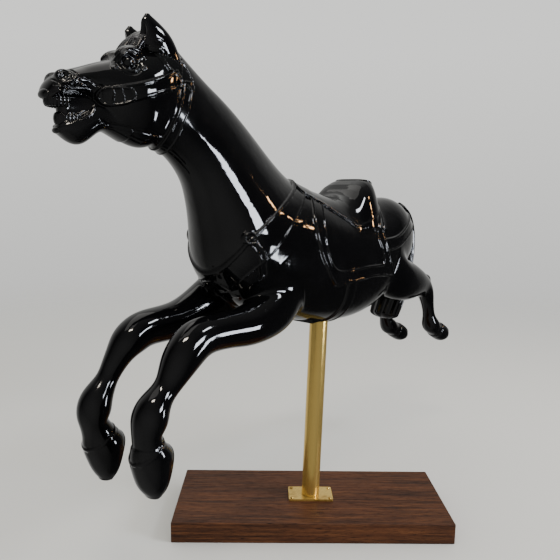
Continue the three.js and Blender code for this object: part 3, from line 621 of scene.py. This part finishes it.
def head(p):
    """Skull, jaw and neck with their relief, cut at the seam; then teeth, mouth, eyes, ears and forelock."""
    q = across_head(p)
    folded = np.stack([q[:, 0], np.abs(q[:, 1]), q[:, 2]], 1)
    value = flow(head_and_neck(p), egg(folded, *BROW), 10)
    value = flow(value, egg(folded, *NOSE), 5)
    near = np.flatnonzero(np.abs(value) < 12)
    r = folded[near]
    relief = sum(height * bead(line.distance(r), 0, half) for line, half, height in FACE_LINES)
    for (x, z), radius, half, height in FACE_RINGS:
        relief += height * bead(np.hypot(r[:, 0] - x, r[:, 2] - z), radius, half)
    bridle = bridle_height(r)
    value[near] -= bridle + relief * ramp(r[:, 1] - 4, 6) * (1 - ramp(bridle, 0.6))
    value = cut(value, egg(folded, *SOCKET), 1.6)
    value = flow(value, egg(folded, *EYEBALL), 0.5)
    value = cut(value, egg(folded, *NOSTRIL_PIT), 1.8)
    value = cut(value, HEAD_AREA.distance(q), 0.6)
    value = np.minimum.reduce([value, teeth(q, *UPPER_TEETH), teeth(q, *LOWER_TEETH), MOUTH_BACK.field(p)])
    hair = np.full(len(p), FAR)
    for side in (1, -1):
        value = flow(value, cut(EARS[side].field(q), egg(q, *EAR_HOLLOWS[side]), 2.0), 2.5)
        for curl in CURLS[side]:
            hair = flow(hair, curl.field(q), 1)
    for lock in FORELOCK:
        hair = flow(hair, lock.field(p), 1)
    return flow(value, hair, 1.5)


# ----------------------------------------
# Mane and belly block. The mane falls on the right side of the neck in locks from the crest. Under the
# belly a plain block is left standing round the pole.
MANE_LOCKS = 10
CREST = flowing_curve([row[:2] for row in NECK_ROWS])
PAD_AT, PAD_HALF = (12, 0, 447), (38, 28, 10)


def mane_lock(i):
    """One lock: its root on the crest, its tip further down the nearer it is to the withers."""
    x, z = CREST(np.array([(len(NECK_ROWS) - 1) * (i + 0.4) / (MANE_LOCKS + 2.0)]))[0]
    spread = i / MANE_LOCKS
    fall = 58 + 26 * spread
    return Lock([[x + 4, -4, z - 16], [x + 3, -19 - 6 * spread, z - 26],
                 [x, -30 - 16 * spread, z - 0.62 * fall], [x - 16, -36 - 26 * spread, z - fall]], 13)


MANE = [mane_lock(i) for i in range(MANE_LOCKS)]


def pad(p):
    """A block with eased edges: the largest of the three reaches beyond its half sizes."""
    reach = np.abs(p - PAD_AT) - PAD_HALF
    return cut(cut(reach[:, 0], -reach[:, 1], 4), -reach[:, 2], 3)


def trunk_with_tack(p):
    """Trunk, neck, saddle and legs less the tack's height; then tail, pad and mane, cut at the seam."""
    body = flow(TRUNK.field(p), head_and_neck(p), 12)
    body = flow(body, saddle(p), 22)
    limbs = legs(p)
    value = flow(body, limbs, 16)
    near = np.flatnonzero(np.abs(value) < 14)
    on_body = ramp(limbs[near] - body[near] + 6, 12)
    value[near] -= tack_height(p[near]) * on_body
    value = flow(value, TAIL.field(p), 7)
    value = flow(value, pad(p), 3)
    for lock in MANE:
        value = flow(value, lock.field(p), 1.5)
    return cut(value, SEAM_LAP - HEAD_AREA.distance(across_head(p)), 0.6)


# ----------------------------------------
# The carved surface. The field's zero level is found by halving cells that may hold it, one point is set
# in each last cell, and each point is then pulled onto the level along the field's slope.
MOST_TRIANGLES = 196000
CELL_REACH, RELIEF_ROOM = 1.392, 5.0    # half a cell's diagonal with slack, and room for the relief
CORNERS = np.stack(np.meshgrid([0, 1], [0, 1], [0, 1], indexing="ij"), -1).reshape(-1, 3)


def packed(cells):
    """One whole number for each cell or corner, for looking it up."""
    c = cells.astype(np.int64) + 4096
    return (c[:, 0] << 32) | (c[:, 1] << 16) | c[:, 2]


def evaluated(field, points, share=12000):
    """The field at the points, worked out in shares that run beside each other."""
    parts = [points[i:i + share] for i in range(0, len(points), share)]
    with ThreadPoolExecutor(4) as workers:
        return np.concatenate(list(workers.map(field, parts)))


def probed(field, points, step):
    """The field's value and slope from four probes at the corners of a small tetrahedron."""
    value, slope = np.zeros(len(points)), np.zeros_like(points)
    for sign in ((1, 1, 1), (1, -1, -1), (-1, 1, -1), (-1, -1, 1)):
        direction = np.array(sign, float)
        here = evaluated(field, points + step * direction)
        value += here / 4
        slope += here[:, None] * direction / (4 * step)
    return value, slope


def level_surface(field, low, high, size, coarse):
    """Points and four-sided faces of the field's zero level between two corners, in cells of that size."""
    start, pitch = np.floor(np.array(low) / coarse), coarse
    count = np.ceil(np.array(high) / coarse) - start
    cells = np.stack(np.meshgrid(*[np.arange(n) for n in count], indexing="ij"), -1).reshape(-1, 3) + start
    while True:
        nearest = np.abs(evaluated(field, (cells + 0.5) * pitch))
        cells = cells[nearest < pitch * CELL_REACH + RELIEF_ROOM]
        if pitch <= size * 1.01:
            break
        cells, pitch = (cells[:, None, :] * 2 + CORNERS).reshape(-1, 3), pitch / 2
    cells = cells.astype(np.int64)
    corners = (cells[:, None, :] + CORNERS).reshape(-1, 3)
    _, first, back = np.unique(packed(corners), return_index=True, return_inverse=True)
    at_corner = evaluated(field, corners[first] * pitch)[back].reshape(-1, 8)
    mixed = (at_corner < 0).any(1) & (at_corner >= 0).any(1)
    cells, at_corner = cells[mixed], at_corner[mixed]
    order = np.argsort(packed(cells))
    cells, at_corner = cells[order], at_corner[order]
    lookup = packed(cells)
    total, hits = np.zeros((len(cells), 3)), np.zeros(len(cells))
    for a in range(8):
        for axis in range(3):
            b = a ^ (4 >> axis)
            if b < a:
                continue
            va, vb = at_corner[:, a], at_corner[:, b]
            crossed = (va < 0) != (vb < 0)
            share = np.where(crossed, va / np.where(crossed, va - vb, 1), 0)
            spot = CORNERS[a] + share[:, None] * (CORNERS[b] - CORNERS[a])
            total[crossed] += spot[crossed]
            hits += crossed
    points = (cells + total / hits[:, None]) * pitch
    faces = []
    for axis in range(3):
        one, two = np.eye(3, dtype=np.int64)[[(axis + 1) % 3, (axis + 2) % 3]]
        near, far = at_corner[:, 0], at_corner[:, 4 >> axis]
        crossed = (near < 0) != (far < 0)
        around = [cells[crossed] - a * one - b * two for a, b in ((0, 0), (1, 0), (1, 1), (0, 1))]
        ids = np.stack([np.searchsorted(lookup, packed(c)) for c in around], 1)
        ids = np.clip(ids, 0, len(lookup) - 1)
        whole = np.all([lookup[ids[:, i]] == packed(c) for i, c in enumerate(around)], axis=0)
        outward = near[crossed] < 0
        ids = np.where(outward[:, None], ids, ids[:, ::-1])
        faces.append(ids[whole])
    return points, np.concatenate(faces), pitch


def settled(field, points, pitch, rounds=2):
    """Pulls each point onto the level: step back by value over slope, never more than half a cell."""
    for _ in range(rounds):
        value, rise = probed(field, points, 0.25)
        move = value[:, None] * rise / np.maximum((rise**2).sum(1), 0.15)[:, None]
        length = np.linalg.norm(move, axis=1)[:, None]
        points = points - move * np.minimum(1, 0.5 * pitch / np.maximum(length, 1e-9))
    return points


def carved_piece(name, field, low, high, size, coarse):
    """Meshes the level, thins it evenly, and gives each point the field's own normal."""
    points, faces, pitch = level_surface(field, low, high, size, coarse)
    points = settled(field, points, pitch)
    mesh = bpy.data.meshes.new(name)
    mesh.from_pydata((points / 1000).tolist(), [], faces.tolist())
    piece = bpy.data.objects.new(name, mesh)
    bpy.context.scene.collection.objects.link(piece)
    share = MOST_TRIANGLES / (2 * len(faces))
    if share < 1:
        piece.modifiers.new("thin", "DECIMATE").ratio = share
        mesh = bpy.data.meshes.new_from_object(piece.evaluated_get(bpy.context.evaluated_depsgraph_get()))
        piece.modifiers.clear()
        piece.data = mesh
        mesh.name = name
    where = np.empty(len(mesh.vertices) * 3)
    mesh.vertices.foreach_get("co", where)
    where = settled(field, where.reshape(-1, 3) * 1000, pitch, 1)
    mesh.vertices.foreach_set("co", (where / 1000).ravel())
    normals = probed(field, where, 0.35)[1]
    normals /= np.linalg.norm(normals, axis=1)[:, None]
    mesh.polygons.foreach_set("use_smooth", np.ones(len(mesh.polygons), bool))
    mesh.normals_split_custom_set_from_vertices(normals.tolist())
    mesh.update()
    return piece


# Each piece: its field, the corners of its space, the size of its last cells and that of its first ones.
BODY_CELL, HEAD_CELL = ((2.0, 1.1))
horse = [carved_piece("carved_body", trunk_with_tack, (-570, -110, 240), (520, 110, 912), BODY_CELL, 16.0),
         carved_piece("carved_head", head, (345, -80, 725), (590, 70, 930), HEAD_CELL, 17.6)]
for piece in horse:
    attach(piece, "root")
    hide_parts("horse")

# ----------------------------------------
# Finishes. Every pattern lies on the object's own coordinates in metres.
def linear(hex_colour):
    """An sRGB hex colour as linear light."""
    c = np.array([int(hex_colour[i:i + 2], 16) for i in (1, 3, 5)]) / 255
    return (*np.where(c <= 0.04045, c / 12.92, ((c + 0.055) / 1.055)**2.4), 1.0)


def give(tree, node, settings):
    """Sets a node's fields and inputs; a value that is another node's socket is linked."""
    for key, value in settings.items():
        if isinstance(value, bpy.types.NodeSocket):
            tree.links.new(value, node.inputs[key])
        elif isinstance(key, str) and hasattr(node, key):
            setattr(node, key, value)
        else:
            node.inputs[key].default_value = value
    return node


def add(tree, kind, settings=None, **inputs):
    """Adds a node with its settings and inputs."""
    return give(tree, tree.nodes.new(kind), {**(settings or {}), **inputs})


def new_material(name, base, settings):
    """A named material with its shader's colour and numbers set on the shader's own sockets."""
    material = bpy.data.materials.new(name)
    material.use_nodes = True
    tree = material.node_tree
    shader = give(tree, tree.nodes["Principled BSDF"], {"Base Color": linear(base), **settings})
    return material, tree, shader


def place_in(tree, scale=(1, 1, 1), turn=0.0):
    """Object coordinates in metres, turned about the upright and then scaled: the pattern's own grid."""
    where = add(tree, "ShaderNodeTexCoord").outputs["Object"]
    turned = add(tree, "ShaderNodeMapping", {"Rotation": (0, 0, turn)}, Vector=where).outputs["Vector"]
    return add(tree, "ShaderNodeMapping", {"Scale": scale}, Vector=turned).outputs["Vector"]


def noise(tree, where, scale, detail, roughness=0.5, distortion=0.0):
    """Cloudy noise from 0 to 1."""
    return add(tree, "ShaderNodeTexNoise", Vector=where, Scale=scale, Detail=detail, Roughness=roughness,
               Distortion=distortion).outputs["Fac"]


def blended(tree, share, first, second):
    """A colour between two, by a share from 0 to 1."""
    first, second = (linear(colour) if isinstance(colour, str) else colour for colour in (first, second))
    return add(tree, "ShaderNodeMix", {"data_type": "RGBA", 0: share, 6: first, 7: second}).outputs[2]


def spread_to(tree, value, low, high, to_low=0.0, to_high=1.0):
    """Maps a value's range onto another, held at the ends."""
    settings = {0: value, 1: low, 2: high, 3: to_low, 4: to_high}
    return add(tree, "ShaderNodeMapRange", settings).outputs["Result"]


def bumped(tree, height, depth, under=None, invert=False):
    """A normal with a fine relief of that depth in metres, over another relief if one is given."""
    bump = add(tree, "ShaderNodeBump", {"invert": invert}, Height=height, Strength=1.0, Distance=depth)
    return give(tree, bump, {} if under is None else {"Normal": under}).outputs["Normal"]


# Black polyester lacquer over carved wood: jet black, mirror gloss. The slight waves of the hand-rubbed
# coat break up each reflection, and dust and handling dull it a little in places.
lacquer, tree, shader = new_material("black_lacquer", "#040405",
                                     {"Roughness": 0.05, "Specular IOR Level": 0.5})
grid = place_in(tree)
dull = noise(tree, grid, 9.0, 4.0, 0.6)
waves = bumped(tree, noise(tree, grid, 55.0, 1.0, 0.45), 0.0003)
give(tree, shader, {
    "Base Color": blended(tree, spread_to(tree, dull, 0.5, 0.8), "#040405", "#0B0B0C"),
    "Roughness": spread_to(tree, dull, 0.45, 0.75, 0.035, 0.13),
    "Normal": bumped(tree, noise(tree, grid, 420.0, 1.0), 0.000012, waves)})
for piece in horse:
    piece.data.materials.append(lacquer)


def dress(node, material):
    """Gives a carried-over solid its finish."""
    piece = bpy.data.objects[node]
    for slot in piece.material_slots:
        slot.material = material
    if not piece.material_slots:
        piece.data.materials.append(material)


# Brass tube and plate: polished along the tube, so fine streaks run up it, with tarnish in clouds that are
# browner and duller, where hands and damp reach it.
def brass(name, streaks, polish, tarnish):
    """Yellow metal; streaks gives the grid of the polishing lines, tarnish the range of noise it covers."""
    material, tree, shader = new_material(name, "#D9B560", {"Metallic": 0.85, "Roughness": polish})
    lines = noise(tree, place_in(tree, streaks), 1.0, 3.0, 0.6)
    stain = spread_to(tree, noise(tree, place_in(tree, (1, 1, 0.45)), 26.0, 5.0, 0.62), *tarnish)
    rough = polish
    for cause, share in ((stain, 0.16), (lines, 0.09)):
        settings = {"operation": "MULTIPLY_ADD", 0: cause, 1: share, 2: rough}
        rough = add(tree, "ShaderNodeMath", settings).outputs[0]
    give(tree, shader, {"Base Color": blended(tree, stain, "#E2C06C", "#A27C38"), "Roughness": rough,
                        "Normal": bumped(tree, lines, 0.00002)})
    return material


dress("pole", brass("brass_tube", (900, 900, 14), 0.19, (0.60, 0.80)))
dress("foot_plate", brass("brass_plate", (40, 900, 900), 0.24, (0.54, 0.76)))
screw_brass = brass("brass_screw", (500, 500, 500), 0.2, (0.4, 0.7))
for number in range(1, 5):
    dress(f"plate_screw_{number}", screw_brass)

# Oak plank, stained dark reddish brown under thin varnish: straight open grain along its length, darker in
# the pores, and a slow change of tone from board figure.
plank, tree, shader = new_material("stained_oak", "#2C1A14", {"Roughness": 0.6, "Specular IOR Level": 0.2})
figure = noise(tree, place_in(tree, (5, 34, 34), -PLANK_TURN), 1.0, 3.0, 0.55, 0.6)
rings = noise(tree, place_in(tree, (7, 210, 210), -PLANK_TURN), 1.0, 6.0, 0.6, 0.3)
pores = noise(tree, place_in(tree, (60, 1500, 1500), -PLANK_TURN), 1.0, 2.0)
tone = blended(tree, spread_to(tree, figure, 0.3, 0.7), "#22130C", "#4C2B18")
tone = blended(tree, spread_to(tree, rings, 0.42, 0.7), tone, "#623B20")
pore = spread_to(tree, pores, 0.56, 0.68)
give(tree, shader, {
    "Base Color": blended(tree, pore, tone, "#100907"),
    "Roughness": spread_to(tree, pores, 0.4, 0.7, 0.48, 0.72),
    "Normal": bumped(tree, rings, 0.0003, bumped(tree, pore, 0.00012, invert=True))})
dress("plank", plank)

# ----------------------------------------
# Floor, surroundings and light. A pale paper floor; the horse shines in a dim room with a pale wall behind
# it, one wide cool window at its left with two smaller panes, two small warm lamps and soft ceiling panels.
floor = bpy.data.objects.new("floor", bpy.data.meshes.new("floor"))
floor.data.from_pydata([(-6, -6, 0), (6, -6, 0), (6, 6, 0), (-6, 6, 0)], [], [(0, 1, 2, 3)])
bpy.context.scene.collection.objects.link(floor)
floor.visible_glossy = False
paper, tree, shader = new_material("white_paper", "#CBCAC5", {"Roughness": 0.9})
# The sheet sweeps up far behind the horse: past a metre it fades into the pale wall.
where = add(tree, "ShaderNodeTexCoord").outputs["Object"]
far = add(tree, "ShaderNodeVectorMath", {"operation": "LENGTH", 0: where}).outputs["Value"]
fade = add(tree, "ShaderNodeMapRange", {"interpolation_type": "SMOOTHSTEP", 0: far, 1: 1.0, 2: 4.2})
clear = add(tree, "ShaderNodeBsdfTransparent").outputs[0]
sweep = add(tree, "ShaderNodeMixShader", {0: fade.outputs["Result"], 1: shader.outputs[0], 2: clear})
give(tree, tree.nodes["Material Output"], {"Surface": sweep.outputs[0]})
floor.data.materials.append(paper)

world = bpy.data.worlds.new("room")
bpy.context.scene.world = world
world.use_nodes = True
tree = world.node_tree
direction = add(tree, "ShaderNodeTexCoord").outputs["Generated"]


def glow(towards, low, high, dim, bright):
    """Light that grows from dim to bright as directions near one direction."""
    near = add(tree, "ShaderNodeVectorMath", {"operation": "DOT_PRODUCT", 0: direction, 1: towards})
    return spread_to(tree, near.outputs["Value"], low, high, dim, bright)


# What the gloss sees: the pale wall behind and to the right, with a little light from all round, paper below
# on that side, a dim ceiling, and the lit room in front.
room = glow((-0.50, -0.86, 0.12), 0.25, 0.8, 0.035, 0.635)
for patch in (((0.25, -0.55, -0.80), 0.45, 0.95, 0.0, 0.22), ((-0.25, -0.10, 0.96), 0.45, 0.98, 0.0, 0.16),
              ((0.81, 0.57, -0.10), 0.2, 0.95, 0.0, 0.26)):
    room = add(tree, "ShaderNodeMath", {"operation": "ADD", 0: room, 1: glow(*patch)}).outputs[0]
# What the eye sees: a wall that grows a little paler upwards.
wall = glow((0.0, 0.0, 1.0), -0.16, 0.24, 0.78, 1.08)
is_gloss = add(tree, "ShaderNodeLightPath").outputs["Is Glossy Ray"]
strength = add(tree, "ShaderNodeMix", {"data_type": "FLOAT", 0: is_gloss, 2: wall, 3: room}).outputs[0]
give(tree, tree.nodes["Background"], {"Color": linear("#FBFBF8"), "Strength": strength})
LOOKED_AT = Vector((0.1, 0, 0.55))      # the shoulder, where every lamp looks


def softbox(name, turn, rise, far, size, watts, colour, on_floor=True):
    """A soft rectangle of light at a turn, rise and distance; off the floor, only gloss shows it."""
    data = bpy.data.lights.new(name, "AREA")
    data.shape, data.size, data.size_y = "RECTANGLE", size[0], size[1]
    data.energy, data.color = watts, linear(colour)[:3]
    lamp = bpy.data.objects.new(name, data)
    a, b = np.radians((turn, rise))
    lamp.location = LOOKED_AT + far * Vector((np.cos(b) * np.cos(a), np.cos(b) * np.sin(a), np.sin(b)))
    lamp.rotation_euler = (LOOKED_AT - lamp.location).to_track_quat("-Z", "Y").to_euler()
    lamp.visible_diffuse = on_floor
    bpy.context.scene.collection.objects.link(lamp)


softbox("window", 108, 14.5, 6.0, (1.7, 1.15), 225, "#EEF4FF")
softbox("low_window", 120, -10.5, 1.7, (0.21, 0.42), 8.5, "#EEF4FF", False)
softbox("upper_window", 119, 40, 2.6, (0.62, 0.28), 20, "#F4F8FF")
softbox("warm_lamp", 147, 26, 2.6, (0.12, 0.13), 2.2, "#FFC488")
softbox("second_lamp", 147.5, 19.5, 2.6, (0.09, 0.12), 1.6, "#FFC488")
softbox("ceiling_panel", 33, 55, 2.4, (0.6, 0.22), 16, "#FFF4E4")
softbox("overhead_panel", -60, 78, 2.0, (2.2, 1.4), 9, "#FFFDF8")
